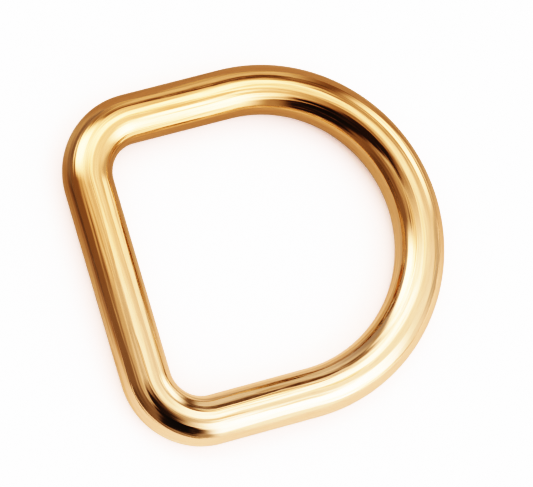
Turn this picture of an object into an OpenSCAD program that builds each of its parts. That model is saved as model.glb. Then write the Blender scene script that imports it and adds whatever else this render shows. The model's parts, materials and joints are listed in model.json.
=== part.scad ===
// D ring for a strap: one round wire bent into a straight bar, two rounded corners,
// two straight legs and a half circle, closed with no visible joint.
// The ring lies on its side. X runs along the bar, Y points from the bar to the arc,
// Z is up, and the origin is the middle of the ring on the surface that it lies on.

/* [Wire] */
// Diameter of the round wire
wire_d = 4.8; // [3:0.1:8]

/* [Opening] */
// Clear width between the legs, which is the width of strap that fits
inside_w = 25; // [15:0.5:60]
// Straight length of each leg, between its corner and the arc
leg_straight = 10; // [2:0.5:30]
// Radius of each corner, measured inside the opening
corner_inside_r = 3; // [1:0.1:6]

/* [Surface] */
// Number of sides of a drawn circle
circle_sides = 96; // [48:16:160]

/* [Hidden] */
$fn = circle_sides;

// Half of the wire, and where the middle of the wire runs
wire_r = wire_d / 2;
arc_r = inside_w / 2 + wire_r;
corner_r = corner_inside_r + wire_r;
bar_straight = inside_w - 2 * corner_inside_r;

// Places along Y, with the overall depth centred on the origin
overall_depth = wire_r + corner_r + leg_straight + arc_r + wire_r;
bar_y = wire_r - overall_depth / 2;
corner_y = bar_y + corner_r;
arc_y = corner_y + leg_straight;

// Straight stretch of wire that starts at the origin and runs along +Y
module straight_wire(length) {
    rotate([-90, 0, 0])
        cylinder(d = wire_d, h = length);
}

// Bend of the wire about the Z axis, from the +X axis through the given angle
module bent_wire(bend_r, angle) {
    rotate_extrude(angle = angle)
        translate([bend_r, 0])
            circle(d = wire_d);
}

// Bar that the strap loops around
module strap_bar() {
    translate([bar_straight / 2, bar_y, 0])
        rotate([0, 0, 90])
            straight_wire(bar_straight);
}

// Corner and leg at the +X end of the bar
module corner_and_leg() {
    translate([bar_straight / 2, corner_y, 0])
        rotate([0, 0, -90])
            bent_wire(corner_r, 90);
    translate([arc_r, corner_y, 0])
        straight_wire(leg_straight);
}

// Half circle that joins the two legs
module arc() {
    translate([0, arc_y, 0])
        bent_wire(arc_r, 180);
}

module ring() {
    color("goldenrod")
        translate([0, 0, wire_r])
            union() {
                strap_bar();
                corner_and_leg();
                mirror([1, 0, 0])
                    corner_and_leg();
                arc();
            }
}

ring();
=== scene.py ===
"""A small D shaped ring of polished gold wire, lying flat on a pale studio floor.

The ring is one closed loop of round wire: a straight bar for the strap, two tight corners, two short legs
and a half circle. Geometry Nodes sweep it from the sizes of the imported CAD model, in metres, in its frame.
"""

import json
import math

import bpy
from mathutils import Matrix, Vector


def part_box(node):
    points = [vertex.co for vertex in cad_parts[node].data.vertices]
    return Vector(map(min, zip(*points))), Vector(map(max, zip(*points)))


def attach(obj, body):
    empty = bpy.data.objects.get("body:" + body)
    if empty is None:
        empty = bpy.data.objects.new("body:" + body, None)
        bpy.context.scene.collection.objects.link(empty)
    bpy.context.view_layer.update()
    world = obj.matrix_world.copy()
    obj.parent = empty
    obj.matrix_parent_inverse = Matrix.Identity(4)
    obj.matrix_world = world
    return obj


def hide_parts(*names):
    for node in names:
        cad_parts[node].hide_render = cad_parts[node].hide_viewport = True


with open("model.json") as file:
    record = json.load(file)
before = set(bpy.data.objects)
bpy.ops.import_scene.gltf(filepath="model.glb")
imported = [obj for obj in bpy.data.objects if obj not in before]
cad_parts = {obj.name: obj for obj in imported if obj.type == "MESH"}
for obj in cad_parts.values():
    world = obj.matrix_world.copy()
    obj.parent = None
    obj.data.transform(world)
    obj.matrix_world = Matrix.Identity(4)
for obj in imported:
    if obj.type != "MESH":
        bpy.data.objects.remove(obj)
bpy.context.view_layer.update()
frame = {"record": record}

bl_info = {
    "name": "D ring of gold wire",
    "version": (1, 0, 0),
    "blender": (4, 5, 0),
    "location": "View3D > Sidebar > D ring",
    "description": "Makes one polished gold D ring and the small studio that it is shown in",
    "category": "Add Mesh",
}

MM = 0.001

# The sizes of the CAD ring, to a hundredth of a millimetre.
RING_LOW, RING_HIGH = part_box("ring")
WIRE, WIDTH, DEPTH = (round(RING_HIGH[axis] - RING_LOW[axis], 5) for axis in (2, 0, 1))
STRAP_BAR = next(m for m in frame["record"]["mounts"] if m["name"] == "strap_bar")


# Node trees

class Link:
    """A socket of a node tree that can be used in sums. Colours and vectors have their own nodes for that."""

    def __init__(self, tree, socket):
        self.tree = tree
        self.socket = socket

    def math(self, operation, *values):
        return self.tree.node("ShaderNodeMath", {"operation": operation}, dict(enumerate((self,) + values)))

    def __add__(self, other):
        return self.math("ADD", other)

    def __radd__(self, other):
        return self.math("ADD", other)

    def __sub__(self, other):
        return self.math("SUBTRACT", other)

    def __rsub__(self, other):
        return self.tree.node("ShaderNodeMath", {"operation": "SUBTRACT"}, {0: other, 1: self})

    def __mul__(self, other):
        return self.math("MULTIPLY", other)

    def __rmul__(self, other):
        return self.math("MULTIPLY", other)

    def __truediv__(self, other):
        return self.math("DIVIDE", other)

    def __rtruediv__(self, other):
        return self.tree.node("ShaderNodeMath", {"operation": "DIVIDE"}, {0: other, 1: self})

    def __abs__(self):
        return self.math("ABSOLUTE")


class Tree:
    """Adds nodes to one node tree."""

    def __init__(self, tree):
        self.tree = tree

    def node(self, kind, settings=None, inputs=None, output=0):
        """Adds a node of that kind, sets its settings, then its sockets, and gives one of its outputs."""
        new = self.tree.nodes.new(kind)
        for name, value in (settings or {}).items():
            setattr(new, name, value)
        for key, value in (inputs or {}).items():
            self.join(value, self.find(new.inputs, key))
        return Link(self, self.find(new.outputs, output)) if len(new.outputs) else new

    def find(self, sockets, key):
        """A socket by its number, or by its name among those that are in use."""
        if isinstance(key, int):
            return sockets[key]
        return next(s for s in sockets if s.name == key and s.enabled)

    def join(self, value, socket):
        """Links another node to the socket, or sets the socket's own value."""
        if isinstance(value, Link):
            self.tree.links.new(value.socket, socket)
        else:
            socket.default_value = value

    def also(self, link, output):
        """Another output of the node that link comes from."""
        return Link(self, self.find(link.socket.node.outputs, output))

    def ramp(self, value, start, end):
        """0 before start, 1 past end, and a smooth change between them. The end may be the lower one."""
        settings = {"interpolation_type": "SMOOTHSTEP", "clamp": True}
        return self.node("ShaderNodeMapRange", settings, {"Value": value, "From Min": start, "From Max": end})

    def mix_colour(self, factor, first, second):
        settings = {"data_type": "RGBA", "clamp_factor": True}
        inputs = {"Factor": factor, "A": self.colour(first), "B": self.colour(second)}
        return self.node("ShaderNodeMix", settings, inputs, "Result")

    def colour(self, value):
        return value if isinstance(value, Link) else (*value[:3], 1.0)

    def vector_math(self, operation, inputs, output=0):
        return self.node("ShaderNodeVectorMath", {"operation": operation}, inputs, output)


# Sizes, finish and studio

class RingSizes(bpy.types.PropertyGroup):
    """The ring's sizes. The defaults are those of the CAD model."""

    wire_thickness: bpy.props.FloatProperty(
        name="Wire thickness",
        description="Diameter of the round wire",
        default=WIRE,
        min=0.001,
        unit="LENGTH",
    )
    width: bpy.props.FloatProperty(
        name="Width",
        description="Over the outsides of the two legs",
        default=WIDTH,
        min=0.01,
        unit="LENGTH",
    )
    depth: bpy.props.FloatProperty(
        name="Depth",
        description="From the outside of the strap bar to the outside of the half circle",
        default=DEPTH,
        min=0.01,
        unit="LENGTH",
    )
    bar_length: bpy.props.FloatProperty(
        name="Straight part of the strap bar",
        description="Between the two tight corners",
        default=STRAP_BAR["dims"]["length_mm"] * MM,
        min=0.002,
        unit="LENGTH",
    )
    steps_along: bpy.props.IntProperty(
        name="Steps along the wire",
        description="Points of the path that the wire follows",
        default=440,
        min=64,
    )
    steps_around: bpy.props.IntProperty(
        name="Steps around the wire",
        description="Sides of the round wire",
        default=160,
        min=16,
    )
    wave_height: bpy.props.FloatProperty(
        name="Unevenness",
        description="How far the polished surface swells and dips, which makes its reflections waver",
        default=0.008 * MM,
        min=0.0,
        unit="LENGTH",
    )
    wave_length: bpy.props.FloatProperty(
        name="Length of the unevenness",
        description="From one swell of the surface to the next",
        default=6.0 * MM,
        min=0.0005,
        unit="LENGTH",
    )
    ridge_height: bpy.props.FloatProperty(
        name="Ridge height",
        description="How high the faint ridges stand that grinding has left along the wire",
        default=0.014 * MM,
        min=0.0,
        unit="LENGTH",
    )


class GoldFinish(bpy.types.PropertyGroup):
    """The plating's colours and its polish."""

    # Painted light: this paler tone towards +X stands in for whiter light on that side of the ring.
    gold: bpy.props.FloatVectorProperty(
        name="Gold",
        description="Colour of the plating towards +X, where it is paler",
        subtype="COLOR",
        size=3,
        default=(0.95, 0.63, 0.40),
        min=0.0,
        max=1.0,
    )
    # Painted light: this deeper tone towards -X stands in for warmer light on that side of the ring.
    deep_gold_for_warm_light: bpy.props.FloatVectorProperty(
        name="Deep gold",
        description="Colour of the plating towards -X, where it is thicker and redder",
        subtype="COLOR",
        size=3,
        default=(0.94, 0.545, 0.285),
        min=0.0,
        max=1.0,
    )
    # Painted reflection: this darker gold along the grooves and fine lines paints dark streaks into the
    # reflections.
    painted_streak_gold: bpy.props.FloatVectorProperty(
        name="Gold in the grooves",
        description="Colour of the fine grooves along the wire, where the polish does not reach",
        subtype="COLOR",
        size=3,
        default=(0.66, 0.36, 0.17),
        min=0.0,
        max=1.0,
    )
    edge_gold: bpy.props.FloatVectorProperty(
        name="Gold at a flat angle",
        description="Tint of what the plating mirrors where it is seen almost from the side",
        subtype="COLOR",
        size=3,
        default=(1.0, 0.93, 0.82),
        min=0.0,
        max=1.0,
    )
    polish: bpy.props.FloatProperty(
        name="Roughness of the polish",
        description="0 is a perfect mirror",
        default=0.07,
        min=0.0,
        max=1.0,
        subtype="FACTOR",
    )
    dullness: bpy.props.FloatProperty(
        name="Dullness",
        description="Roughness that the fine lines and the haze add at most",
        default=0.09,
        min=0.0,
        max=1.0,
        subtype="FACTOR",
    )
    line_depth: bpy.props.FloatProperty(
        name="Depth of the polishing lines",
        description="Depth that the lines along the wire seem to have, by their shading alone",
        default=0.035 * MM,
        min=0.0,
        unit="LENGTH",
    )


class Studio(bpy.types.PropertyGroup):
    """The floor, the light and the camera."""

    camera_distance: bpy.props.FloatProperty(
        name="Camera distance",
        description="From the middle of the ring",
        default=494.0 * MM,
        min=0.05,
        unit="LENGTH",
    )
    camera_side: bpy.props.FloatProperty(
        name="Camera side",
        description="Turn of the camera round the ring, from in front of the strap bar",
        default=math.radians(19.7),
        subtype="ANGLE",
    )
    camera_height: bpy.props.FloatProperty(
        name="Camera height",
        description="Angle of the camera above the floor",
        default=math.radians(72.8),
        subtype="ANGLE",
    )
    camera_roll: bpy.props.FloatProperty(
        name="Camera roll",
        description="Turn of the picture, so that the strap bar stands to the left",
        default=math.radians(54.6),
        subtype="ANGLE",
    )
    lens: bpy.props.FloatProperty(
        name="Lens",
        description="Focal length on a 36 mm sensor, in millimetres",
        default=350.0,
        min=10.0,
    )
    floor_colour: bpy.props.FloatVectorProperty(
        name="Floor",
        description="Colour of the matt floor",
        subtype="COLOR",
        size=3,
        default=(0.93, 0.91, 0.92),
        min=0.0,
        max=1.0,
    )
    light: bpy.props.FloatProperty(
        name="Light",
        description="Strength of the light around the ring, and of the backdrop",
        default=1.0,
        min=0.0,
    )


# The ring

# Points that each corner of the path is rounded with, before the path is divided into even steps.
CORNER_POINTS = 360

# The noises that are drawn out along the wire. Each row says how many lines lie around the wire, how soon
# they change along it, and how much finer detail they have.
RIDGES = (6.0, 1.1, 1.0)
FINE_LINES = (12.0, 8.0, 3.0)
COARSE_LINES = (5.2, 1.3, 1.0)

# The cloudy noises of the finish, by how many clouds there are on a millimetre. The clouds shift the change
# from pale to deep gold, which is painted light, by this share of the ring's width.
HAZE_PER_MM = 0.22
CLOUDS_PER_MM = 0.12
CLOUD_SHIFT = 0.4

# Each pair is where a noise begins to show and where it shows in full.
GROOVES_SHOW = (0.58, 0.68)
FINE_LINES_DARKEN = (0.45, 0.70)
FINE_LINES_DULL = (0.35, 0.75)
HAZE_DULLS = (0.45, 0.75)

# How far grooves and fine lines take on the colour of the painted streaks, and how much each noise adds to
# the bump.
GROOVE_PAINTED_STREAK = 0.5
FINE_LINE_PAINTED_STREAK = 0.15
FINE_LINE_RELIEF = 0.2
COARSE_LINE_RELIEF = 2.0
GROOVE_RELIEF = 0.3


def ring_tree():
    """Sweeps a round wire along a D shaped path."""
    group = bpy.data.node_groups.new("Ring of wire", "GeometryNodeTree")
    group.is_modifier = True
    sockets = group.interface
    sockets.new_socket(name="Geometry", in_out="OUTPUT", socket_type="NodeSocketGeometry")
    sockets.new_socket(name="Geometry", in_out="INPUT", socket_type="NodeSocketGeometry")
    lengths = ("Wire thickness", "Width", "Depth", "Bar length", "Wave height", "Wave length", "Ridge height")
    for name in lengths:
        sockets.new_socket(name=name, in_out="INPUT", socket_type="NodeSocketFloat").subtype = "DISTANCE"
    for name in ("Steps along", "Steps around"):
        sockets.new_socket(name=name, in_out="INPUT", socket_type="NodeSocketInt")
    sockets.new_socket(name="Finish", in_out="INPUT", socket_type="NodeSocketMaterial")

    t = Tree(group)
    wire = t.node("NodeGroupInput", output="Wire thickness")
    width = t.also(wire, "Width") - wire
    depth = t.also(wire, "Depth") - wire
    arc_radius = width * 0.5
    corner_radius = (width - t.also(wire, "Bar length")) * 0.5

    # The path is a rectangle through the middle of the wire. Its first two corners are the far ones. They are
    # rounded so much that they join into the half circle.
    path = t.node("GeometryNodeCurvePrimitiveQuadrilateral", {"mode": "RECTANGLE"},
                  {"Width": width, "Height": depth})
    far_corner = t.node("FunctionNodeCompare", {"data_type": "INT", "operation": "LESS_THAN"},
                        {"A": t.node("GeometryNodeInputIndex"), "B": 2})
    radius = t.node("GeometryNodeSwitch", {"input_type": "FLOAT"},
                    {"Switch": far_corner, "False": corner_radius, "True": arc_radius})
    path = t.node("GeometryNodeFilletCurve", {"mode": "POLY"},
                  {"Curve": path, "Count": CORNER_POINTS, "Radius": radius, "Limit Radius": False})
    path = t.node("GeometryNodeResampleCurve", {"mode": "COUNT"},
                  {"Curve": path, "Count": t.also(wire, "Steps along")})
    path = t.node("GeometryNodeSetCurveNormal", {"mode": "Z_UP"}, {"Curve": path})
    lift = t.node("ShaderNodeCombineXYZ", None, {"Z": wire * 0.5})
    path = t.node("GeometryNodeSetPosition", None, {"Geometry": path, "Offset": lift})

    # The way along the wire is kept as a point that goes once round a circle, so that it has no seam.
    turn = t.node("GeometryNodeSplineParameter", output="Factor") * math.tau
    along = t.node("ShaderNodeCombineXYZ", None, {"X": turn.math("COSINE"), "Y": turn.math("SINE")})
    path = store_vector(t, path, "along", along)

    # The wire's round section, and the way around it.
    section = t.node("GeometryNodeCurvePrimitiveCircle", {"mode": "RADIUS"},
                     {"Resolution": t.also(wire, "Steps around"), "Radius": wire * 0.5})
    place = t.node("GeometryNodeInputPosition")
    around = t.vector_math("NORMALIZE", {0: place})
    section = store_vector(t, section, "around", around)
    skin = t.node("GeometryNodeCurveToMesh", None, {"Curve": path, "Profile Curve": section})

    # Polished metal is never quite even.
    swell = t.node("ShaderNodeTexNoise", {"noise_dimensions": "3D"},
                   {"Vector": place, "Scale": 1.0 / t.also(wire, "Wave length"), "Detail": 1.0}, "Fac")
    ridges = line_noise(t, read_vector(t, "around"), read_vector(t, "along"), *RIDGES)
    swell = up_and_down(swell) * t.also(wire, "Wave height")
    ridges = up_and_down(ridges) * t.also(wire, "Ridge height")
    height = swell + ridges
    offset = t.vector_math("SCALE", {0: t.node("GeometryNodeInputNormal"), "Scale": height})
    skin = t.node("GeometryNodeSetPosition", None, {"Geometry": skin, "Offset": offset})
    skin = t.node("GeometryNodeSetShadeSmooth", None, {"Geometry": skin, "Shade Smooth": True})
    skin = t.node("GeometryNodeRealizeInstances", None, {"Geometry": skin})
    skin = t.node("GeometryNodeSetMaterial", None, {"Geometry": skin, "Material": t.also(wire, "Finish")})
    t.node("NodeGroupOutput", None, {0: skin})
    return group


def store_vector(t, geometry, name, value):
    """Keeps a vector on the points of a curve, for the ridges and the finish to follow."""
    return t.node("GeometryNodeStoreNamedAttribute", {"data_type": "FLOAT_VECTOR", "domain": "POINT"},
                  {"Geometry": geometry, "Name": name, "Value": value})


def read_vector(t, name):
    """A vector that was kept on the points."""
    settings = {"data_type": "FLOAT_VECTOR"}
    return t.node("GeometryNodeInputNamedAttribute", settings, {"Name": name}, "Attribute")


def up_and_down(noise):
    """A noise between 0 and 1, stretched to run between -1 and 1."""
    return (noise - 0.5) * 2.0


def line_noise(t, around, along, lines, changes, detail):
    """Noise drawn out along the wire, with so many lines around it and changes along it.

    Its four coordinates are those of two circles, one around the wire and one along it, so it has no seam.
    """
    around_x = t.node("ShaderNodeSeparateXYZ", None, {0: around}, "X")
    along_x = t.node("ShaderNodeSeparateXYZ", None, {0: along}, "X")
    around_y = t.also(around_x, "Y")
    along_y = t.also(along_x, "Y")
    place = t.node("ShaderNodeCombineXYZ", None,
                   {"X": around_x * lines, "Y": around_y * lines, "Z": along_x * changes})
    inputs = {"Vector": place, "W": along_y * changes, "Scale": 1.0, "Detail": detail}
    return t.node("ShaderNodeTexNoise", {"noise_dimensions": "4D"}, inputs, "Fac")


def run_tree(name, group, values):
    """Runs a tree on an empty mesh and gives the plain mesh that it makes."""
    maker = bpy.data.objects.new(name + "_maker", bpy.data.meshes.new(name + "_maker"))
    bpy.context.scene.collection.objects.link(maker)
    modifier = maker.modifiers.new(name, "NODES")
    modifier.node_group = group
    for socket in group.interface.items_tree:
        if socket.in_out == "INPUT" and socket.name in values:
            modifier[socket.identifier] = values[socket.name]
    evaluated = maker.evaluated_get(bpy.context.evaluated_depsgraph_get())
    mesh = bpy.data.meshes.new_from_object(evaluated)
    bpy.data.objects.remove(maker)
    mesh.name = name
    piece = bpy.data.objects.new(name, mesh)
    bpy.context.scene.collection.objects.link(piece)
    return piece


def gold_material(finish):
    """Gold plating with a mirror polish, lines along the wire and a little haze. Painted light: its deeper
    tone towards -X, and dark streaks along the lines.
    """
    material = bpy.data.materials.new("polished gold")
    material.use_nodes = True
    material.node_tree.nodes.clear()
    t = Tree(material.node_tree)
    place = t.node("ShaderNodeTexCoord", output="Object")
    mm = t.vector_math("SCALE", {0: place, "Scale": 1 / MM})
    around = t.node("ShaderNodeAttribute", {"attribute_name": "around"}, output="Vector")
    along = t.node("ShaderNodeAttribute", {"attribute_name": "along"}, output="Vector")

    fine = line_noise(t, around, along, *FINE_LINES)
    coarse = line_noise(t, around, along, *COARSE_LINES)
    grooves = t.ramp(coarse, *GROOVES_SHOW)
    haze = t.node("ShaderNodeTexNoise", {"noise_dimensions": "3D"},
                  {"Vector": mm, "Scale": HAZE_PER_MM, "Detail": 4.0, "Roughness": 0.55}, "Fac")
    clouds = t.node("ShaderNodeTexNoise", {"noise_dimensions": "3D"},
                    {"Vector": mm, "Scale": CLOUDS_PER_MM, "Detail": 2.0}, "Fac")

    across = t.node("ShaderNodeSeparateXYZ", None, {0: place}, "X")
    # Painted light: the gold is paler towards +X and deeper towards -X, for whiter light on one side and
    # warmer light on the other.
    deep = t.ramp(across + (clouds - 0.5) * (WIDTH * CLOUD_SHIFT), WIDTH * 0.5, -WIDTH * 0.5)
    colour = t.mix_colour(deep, finish.gold, finish.deep_gold_for_warm_light)
    # Painted reflection: grooves and fine lines take on a darker gold, which streaks the reflections dark.
    painted_streaks = grooves * GROOVE_PAINTED_STREAK + t.ramp(fine, *FINE_LINES_DARKEN) * FINE_LINE_PAINTED_STREAK
    colour = t.mix_colour(painted_streaks, colour, finish.painted_streak_gold)
    roughness = t.ramp(fine, *FINE_LINES_DULL) * (finish.dullness * 0.5)
    roughness = roughness + t.ramp(haze, *HAZE_DULLS) * (finish.dullness * 0.5) + finish.polish
    relief = fine * FINE_LINE_RELIEF + coarse * COARSE_LINE_RELIEF - grooves * GROOVE_RELIEF
    bump = t.node("ShaderNodeBump", None,
                  {"Height": relief, "Distance": finish.line_depth, "Strength": 1.0}, "Normal")
    shader = t.node("ShaderNodeBsdfPrincipled", None,
                    {"Base Color": colour, "Metallic": 1.0, "Specular Tint": t.colour(finish.edge_gold),
                     "Roughness": roughness, "Normal": bump})
    t.node("ShaderNodeOutputMaterial", None, {"Surface": shader})
    return material


class DRING_OT_make_ring(bpy.types.Operator):
    """Sweep the gold wire round the D and let it stand for the CAD ring"""

    bl_idname = "dring.make_ring"
    bl_label = "Make the ring"

    def execute(self, context):
        sizes = context.scene.dring_sizes
        values = {
            "Wire thickness": sizes.wire_thickness,
            "Width": sizes.width,
            "Depth": sizes.depth,
            "Bar length": sizes.bar_length,
            "Wave height": sizes.wave_height,
            "Wave length": sizes.wave_length,
            "Ridge height": sizes.ridge_height,
            "Steps along": sizes.steps_along,
            "Steps around": sizes.steps_around,
            "Finish": gold_material(context.scene.dring_finish),
        }
        piece = run_tree("gold_ring", ring_tree(), values)
        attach(piece, "root")
        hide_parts("ring")
        return {"FINISHED"}


# The studio

BLACK = (0.0, 0.0, 0.0)
WHITE = (1.0, 1.0, 1.0)
WARM = (1.0, 0.92, 0.82)
COOL = (0.95, 1.0, 1.12)
DARK = (0.045, 0.040, 0.035)

# The light of a small room, brighter from above, and the plain backdrop that the camera itself sees.
ROOM_TOP = (1.15, 1.13, 1.10)
ROOM_LOW = (0.42, 0.41, 0.39)
ROOM_BRIGHTENS = (0.40, 1.0)
BACKDROP = (2.30, 2.26, 2.26)

# A ray's glossy depth is 1 in a mirror and 2 in a mirror's mirror. What is left of the light there is cooled,
# or gold on gold would turn red.
SECOND_MIRROR = (1.2, 1.8)
MIRRORED_TWICE = (0.44, 0.62, 0.84)

# Half the floor's width in metres, and its fine grain.
FLOOR_HALF = 1.5
GRAIN_SCALE = 900.0
GRAIN_PALER = 1.02

# The ring hides a share of the sky from the floor near it. Each pair is the share at which a place begins to
# count as beside or under the ring, and at which it does in full.
SKY_REACH = 12.0 * MM
BESIDE_RING = (0.02, 0.42)
UNDER_RING = (0.45, 0.80)

# What the floor gives off towards the camera: in the open, beside the ring, where the gold warms it and a
# painted shade dims it, and under the ring, where a painted contact shadow darkens it.
FLOOR_GLOW = (1.00, 1.00, 1.00)
FLOOR_GLOW_IN_PAINTED_WARM_SHADE = (0.85, 0.58, 0.52)
FLOOR_GLOW_IN_PAINTED_CONTACT_SHADOW = (0.06, 0.05, 0.045)

# The floor as the ring mirrors it. Towards -X it lies in shade, and towards +X it is bright and gives off
# light. In front of the strap bar it darkens in two steps, except towards +X, and outside the corner at -X it
# glows a little.
MIRRORED_SHADE = (0.42, 0.39, 0.37)
MIRRORED_BRIGHT = (0.81, 0.75, 0.72)
MIRRORED_GLOW = (0.21, 0.195, 0.19)
MIRRORED_SHADE_BESIDE = (0.15, 0.14, 0.13)
MIRRORED_BRIGHT_BESIDE = (0.38, 0.35, 0.35)
MIRRORED_CORNER = (0.06, 0.09, 0.12)
MIRRORED_CORNER_BESIDE = (0.42, 0.52, 0.62)
FLOOR_MIRRORED_TWICE = (0.32, 0.50, 0.68)
SHADE_TO_BRIGHT = (-WIDTH * 0.35, WIDTH * 0.6)
NEAR_FRONT = (-DEPTH * 0.50, -DEPTH * 0.75)
NEAR_FRONT_SHADE = 0.4
FAR_FRONT = (-DEPTH * 0.75, -DEPTH * 1.1)
FAR_FRONT_SHADE = 0.2
FRONT_SHADE_SIDE = (WIDTH * 0.30, -WIDTH * 0.05)
CORNER_SIDE = (-WIDTH * 0.36, -WIDTH * 0.52)
CORNER_FRONT = (-DEPTH * 0.36, -DEPTH * 0.52)

# Every row is one soft panel around the ring: the side and height of its middle, its width and height, its
# turn and the softness of its edge, all in degrees, its colour and its strength. Each covers those before it.
PANELS = (
    # name, side, height, wide, tall, turn, soft, colour, strength
    ("right wall", 50, 34, 60, 48, 0, 18, WHITE, 1.10),
    ("right wall's foot", 46, 6, 36, 24, 0, 12, WHITE, 0.95),
    ("back wall", 88, 8, 40, 24, 0, 10, WHITE, 0.58),
    ("left wall", 160, 18, 44, 30, 0, 12, WHITE, 0.74),
    ("left table", 205, 0, 60, 26, 0, 12, COOL, 0.38),
    ("table by the camera", 279, 12, 74, 64, 0, 16, WARM, 0.27),
    ("table's dark corner", 284, 12, 24, 20, 0, 8, WARM, 0.18),
    ("wall above the table", 260, 48, 30, 20, 0, 12, WARM, 0.60),
    ("dark stand", 133, 26, 12, 50, 0, 6, WARM, 0.24),
    ("dark stand's arm", 121, 48, 22, 8, 0, 7, WARM, 0.42),
    ("dark beam", 166, 33, 34, 9, 0, 6, WARM, 0.34),
    ("dark beam's edge", 152, 35, 50, 6, 17, 4, WARM, 0.14),
    ("pale ceiling", 200, 83, 22, 22, 0, 12, WHITE, 1.30),
    ("left softbox", 221, 36, 32, 42, 22, 13, WHITE, 2.9),
    ("upper left softbox", 162, 68, 30, 18, 0, 9, WHITE, 2.4),
    ("right softbox", 30, 32, 30, 54, -4, 15, COOL, 3.3),
    ("right softbox's foot", 24, 4, 30, 26, 0, 12, WHITE, 1.25),
    ("back softbox's foot", 108, 4, 26, 26, 0, 10, WHITE, 0.85),
    ("back softbox", 110, 23, 25, 26, 0, 9, WHITE, 2.1),
    ("shade above the cloth", 315, 74, 34, 34, 0, 12, WARM, 0.36),
    ("black cloth's right edge", 340, 53, 12, 56, 27, 6, DARK, 1.6),
    ("black cloth's left edge", 315, 46, 20, 64, 19, 6, DARK, 1.6),
    ("black cloth's middle", 333, 38, 26, 36, 0, 6, DARK, 1.0),
    ("black cloth's hem", 333, 19, 36, 16, 0, 6, DARK, 1.4),
)

# A panel shows only in the half of the room that it stands in, where the angle to its middle has a cosine
# above 0. Sums divide by that cosine, so it never counts as less than the last number here.
AHEAD = (0.0, 0.01)
LEAST_AHEAD = 0.001

# The tone curve of a contrasty product photograph: light from the scene, and the brightness it is shown with.
FILM = (
    (0.00, 0.000),
    (0.06, 0.008),
    (0.12, 0.045),
    (0.20, 0.145),
    (0.33, 0.350),
    (0.55, 0.620),
    (0.90, 0.860),
    (1.50, 0.975),
    (3.00, 1.000),
)

# The width of the camera's sensor, in millimetres.
SENSOR_WIDTH = 36.0


def direction(side, height):
    """A unit vector, side degrees from +X towards +Y and height degrees above the floor."""
    side, height = math.radians(side), math.radians(height)
    return Vector((math.cos(side) * math.cos(height), math.sin(side) * math.cos(height), math.sin(height)))


def panel_mask(t, look, side, height, wide, tall, turn, soft):
    """1 on a rectangle that stands square to its own direction, with soft edges, and 0 outside it."""
    out = direction(side, height)
    right = Vector((-math.sin(math.radians(side)), math.cos(math.radians(side)), 0.0))
    up = out.cross(right)
    turn = Matrix.Rotation(math.radians(turn), 3, out)
    edge = math.tan(math.radians(soft))
    ahead = t.vector_math("DOT_PRODUCT", {0: look, 1: out}, "Value")
    mask = t.ramp(ahead, *AHEAD)
    for axis, size in ((turn @ right, wide), (turn @ up, tall)):
        sideways = abs(t.vector_math("DOT_PRODUCT", {0: look, 1: axis}, "Value"))
        across = sideways / ahead.math("MAXIMUM", LEAST_AHEAD)
        half = math.tan(math.radians(size / 2))
        mask = mask * (1.0 - t.ramp(across, half - edge, half + edge))
    return mask


def in_second_mirror(t, light_path):
    """1 for what the ring mirrors twice, and 0 for what it mirrors once or the camera sees."""
    return t.ramp(t.also(light_path, "Glossy Depth"), *SECOND_MIRROR)


def studio_light(settings):
    """A dome of soft panels around the ring. The camera itself sees a plain pale backdrop."""
    world = bpy.data.worlds.new("soft studio")
    world.use_nodes = True
    world.node_tree.nodes.clear()
    bpy.context.scene.world = world
    t = Tree(world.node_tree)
    look = t.node("ShaderNodeTexCoord", output="Generated")
    height = t.node("ShaderNodeSeparateXYZ", None, {0: look}, "Z")
    colour = t.mix_colour(t.ramp(height, *ROOM_BRIGHTENS), ROOM_LOW, ROOM_TOP)
    for name, side, up, wide, tall, turn, soft, tint, strength in PANELS:
        mask = panel_mask(t, look, side, up, wide, tall, turn, soft)
        colour = t.mix_colour(mask, colour, [c * strength for c in tint])
        colour.socket.node.label = name
    seen = t.node("ShaderNodeLightPath", output="Is Camera Ray")
    cooled = t.vector_math("MULTIPLY", {0: colour, 1: MIRRORED_TWICE})
    colour = t.mix_colour(in_second_mirror(t, seen), colour, cooled)
    colour = t.mix_colour(seen, colour, BACKDROP)
    background = t.node("ShaderNodeBackground", None, {"Color": colour, "Strength": settings.light})
    t.node("ShaderNodeOutputWorld", None, {"Surface": background})


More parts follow.
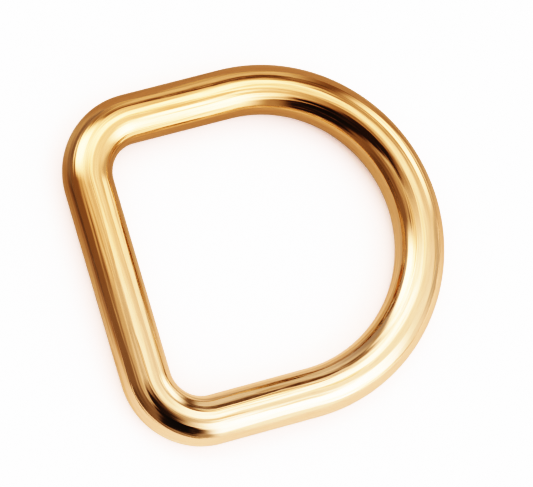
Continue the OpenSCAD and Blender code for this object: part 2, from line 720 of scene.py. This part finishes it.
def floor_material(settings):
    """Matt and pale to the camera. The ring mirrors it partly in shade, as the photographed ring does."""
    material = bpy.data.materials.new("matt floor")
    material.use_nodes = True
    material.node_tree.nodes.clear()
    t = Tree(material.node_tree)
    place = t.node("ShaderNodeTexCoord", output="Object")
    across = t.node("ShaderNodeSeparateXYZ", None, {0: place}, "X")
    forward = t.also(across, "Y")
    seen = t.node("ShaderNodeLightPath", output="Is Camera Ray")
    bright = t.ramp(across, *SHADE_TO_BRIGHT)
    front = t.ramp(forward, *NEAR_FRONT) * NEAR_FRONT_SHADE + t.ramp(forward, *FAR_FRONT) * FAR_FRONT_SHADE
    front = front * t.ramp(across, *FRONT_SHADE_SIDE)
    corner = t.ramp(across, *CORNER_SIDE) * t.ramp(forward, *CORNER_FRONT)
    open_sky = t.node("ShaderNodeAmbientOcclusion", {"samples": 8}, {"Distance": SKY_REACH}, "AO")
    beside = t.ramp(1.0 - open_sky, *BESIDE_RING)
    under = t.ramp(1.0 - open_sky, *UNDER_RING)

    grain = t.node("ShaderNodeTexNoise", {"noise_dimensions": "3D"},
                   {"Vector": place, "Scale": GRAIN_SCALE, "Detail": 2.0}, "Fac")
    paler = [min(1.0, c * GRAIN_PALER) for c in settings.floor_colour]
    plain = t.mix_colour(grain, settings.floor_colour, paler)
    # Painted reflection: the floor that the ring mirrors is darker towards -X and in front of the strap bar,
    # and glows towards +X, beside the ring, outside the corner at -X and where it is mirrored twice.
    mirrored = t.mix_colour(bright, MIRRORED_SHADE, MIRRORED_BRIGHT)
    mirrored = t.mix_colour(front, mirrored, BLACK)
    colour = t.mix_colour(seen, mirrored, plain)

    mirrored = t.mix_colour(bright, BLACK, MIRRORED_GLOW)
    near_ring = t.mix_colour(bright, MIRRORED_SHADE_BESIDE, MIRRORED_BRIGHT_BESIDE)
    mirrored = t.mix_colour(beside, mirrored, near_ring)
    mirrored = t.mix_colour(front, mirrored, BLACK)
    at_corner = t.mix_colour(beside, MIRRORED_CORNER, MIRRORED_CORNER_BESIDE)
    mirrored = t.mix_colour(corner, mirrored, at_corner)
    mirrored = t.mix_colour(in_second_mirror(t, seen), mirrored, FLOOR_MIRRORED_TWICE)
    # Painted shade towards the camera: the floor's glow turns warm and dim beside the ring and almost black
    # under it, as a contact shadow.
    plain = t.mix_colour(beside, FLOOR_GLOW, FLOOR_GLOW_IN_PAINTED_WARM_SHADE)
    plain = t.mix_colour(under, plain, FLOOR_GLOW_IN_PAINTED_CONTACT_SHADOW)
    glow = t.mix_colour(seen, mirrored, plain)
    shader = t.node("ShaderNodeBsdfPrincipled", None,
                    {"Base Color": colour, "Roughness": 0.9, "Specular IOR Level": 0.1,
                     "Emission Color": glow, "Emission Strength": 1.0})
    t.node("ShaderNodeOutputMaterial", None, {"Surface": shader})
    return material


def studio_floor(settings):
    """One large flat sheet under the ring."""
    mesh = bpy.data.meshes.new("floor")
    corners = [(x * FLOOR_HALF, y * FLOOR_HALF, 0.0) for x, y in ((-1, -1), (1, -1), (1, 1), (-1, 1))]
    mesh.from_pydata(corners, [], [(0, 1, 2, 3)])
    mesh.materials.append(floor_material(settings))
    floor = bpy.data.objects.new("floor", mesh)
    bpy.context.scene.collection.objects.link(floor)


def studio_camera(settings):
    """Looks at the middle of the ring from the photograph's side and height, with a long lens."""
    middle = (RING_LOW + RING_HIGH) / 2
    # The camera's side is counted from in front of the strap bar, which is -Y.
    side = math.degrees(settings.camera_side) - 90.0
    away = direction(side, math.degrees(settings.camera_height))
    place = middle + away * settings.camera_distance
    aim = (-away).to_track_quat("-Z", "Y").to_matrix().to_4x4()
    data = bpy.data.cameras.new("camera")
    data.lens = settings.lens
    data.sensor_width = SENSOR_WIDTH
    data.clip_start = 0.01
    data.clip_end = 10.0
    camera = bpy.data.objects.new("camera", data)
    camera.matrix_world = Matrix.Translation(place) @ aim @ Matrix.Rotation(settings.camera_roll, 4, "Z")
    bpy.context.scene.collection.objects.link(camera)
    bpy.context.scene.camera = camera


def film_curve(view):
    """Shows the scene's light with the contrast of a product photograph."""
    view.view_transform = "Standard"
    view.look = "None"
    view.use_curve_mapping = True
    mapping = view.curve_mapping
    brightest = FILM[-1][0]
    mapping.white_level = (brightest,) * 3
    mapping.extend = "HORIZONTAL"
    # The first three curves are red, green and blue, and the fourth is for all of them.
    points = mapping.curves[3].points
    points[0].location = (0.0, 0.0)
    points[-1].location = (1.0, 1.0)
    for light, shown in FILM[1:-1]:
        points.new(light / brightest, shown)
    for point in points:
        point.handle_type = "AUTO_CLAMPED"
    mapping.update()


class DRING_OT_make_stage(bpy.types.Operator):
    """Lay the pale floor, hang the soft light and set up the camera"""

    bl_idname = "dring.make_stage"
    bl_label = "Make the studio"

    def execute(self, context):
        settings = context.scene.dring_studio
        studio_floor(settings)
        studio_light(settings)
        studio_camera(settings)
        film_curve(context.scene.view_settings)
        return {"FINISHED"}


class VIEW3D_PT_dring(bpy.types.Panel):
    """Lists the sizes, the finish, the studio and the two makers"""

    bl_label = "D ring"
    bl_idname = "VIEW3D_PT_dring"
    bl_space_type = "VIEW_3D"
    bl_region_type = "UI"
    bl_category = "D ring"

    def draw(self, context):
        scene = context.scene
        for settings in (scene.dring_sizes, scene.dring_finish, scene.dring_studio):
            box = self.layout.box()
            for name in settings.__annotations__:
                box.prop(settings, name)
        self.layout.operator("dring.make_ring")
        self.layout.operator("dring.make_stage")


CLASSES = (RingSizes, GoldFinish, Studio, DRING_OT_make_ring, DRING_OT_make_stage, VIEW3D_PT_dring)


def register():
    for made in CLASSES:
        bpy.utils.register_class(made)
    bpy.types.Scene.dring_sizes = bpy.props.PointerProperty(type=RingSizes)
    bpy.types.Scene.dring_finish = bpy.props.PointerProperty(type=GoldFinish)
    bpy.types.Scene.dring_studio = bpy.props.PointerProperty(type=Studio)


def unregister():
    del bpy.types.Scene.dring_studio
    del bpy.types.Scene.dring_finish
    del bpy.types.Scene.dring_sizes
    for made in reversed(CLASSES):
        bpy.utils.unregister_class(made)


def main():
    register()
    bpy.ops.dring.make_ring()
    bpy.ops.dring.make_stage()


if __name__ == "__main__":
    main()
